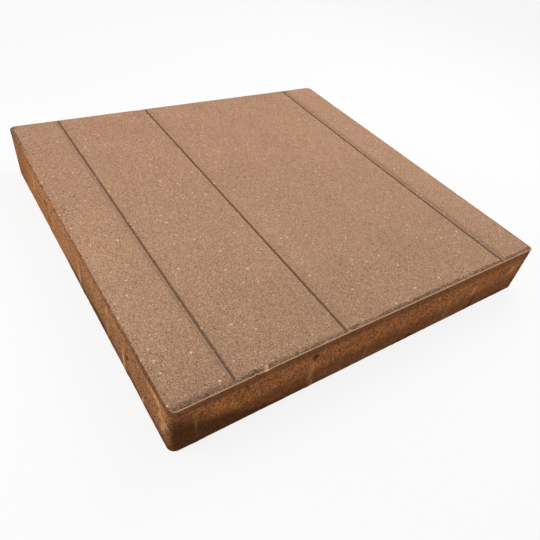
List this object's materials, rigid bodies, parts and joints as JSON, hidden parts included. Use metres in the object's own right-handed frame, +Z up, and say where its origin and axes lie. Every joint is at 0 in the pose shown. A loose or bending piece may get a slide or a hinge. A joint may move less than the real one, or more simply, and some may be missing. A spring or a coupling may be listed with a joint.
{
  "type": "concrete paving slab",
  "caption": "Square pressed concrete paving slab with a plank-patterned face, chamfered arris and spacer ribs on its side walls, laid flat to make a paved surface.",
  "frame": {"origin": "middle of the underside, on the level that the slab rests on", "axes": "+Z up through the slab's thickness to its face, X across the grooves, Y along the grooves"},
  "size_m": [0.6, 0.6, 0.08],
  "materials": {
    "concrete": "matt brown pressed concrete, fine sandy face, coarser open-pored sides"
  },
  "bodies": {
    "root": {"paving_slab": "concrete"}
  },
  "joints": []
}
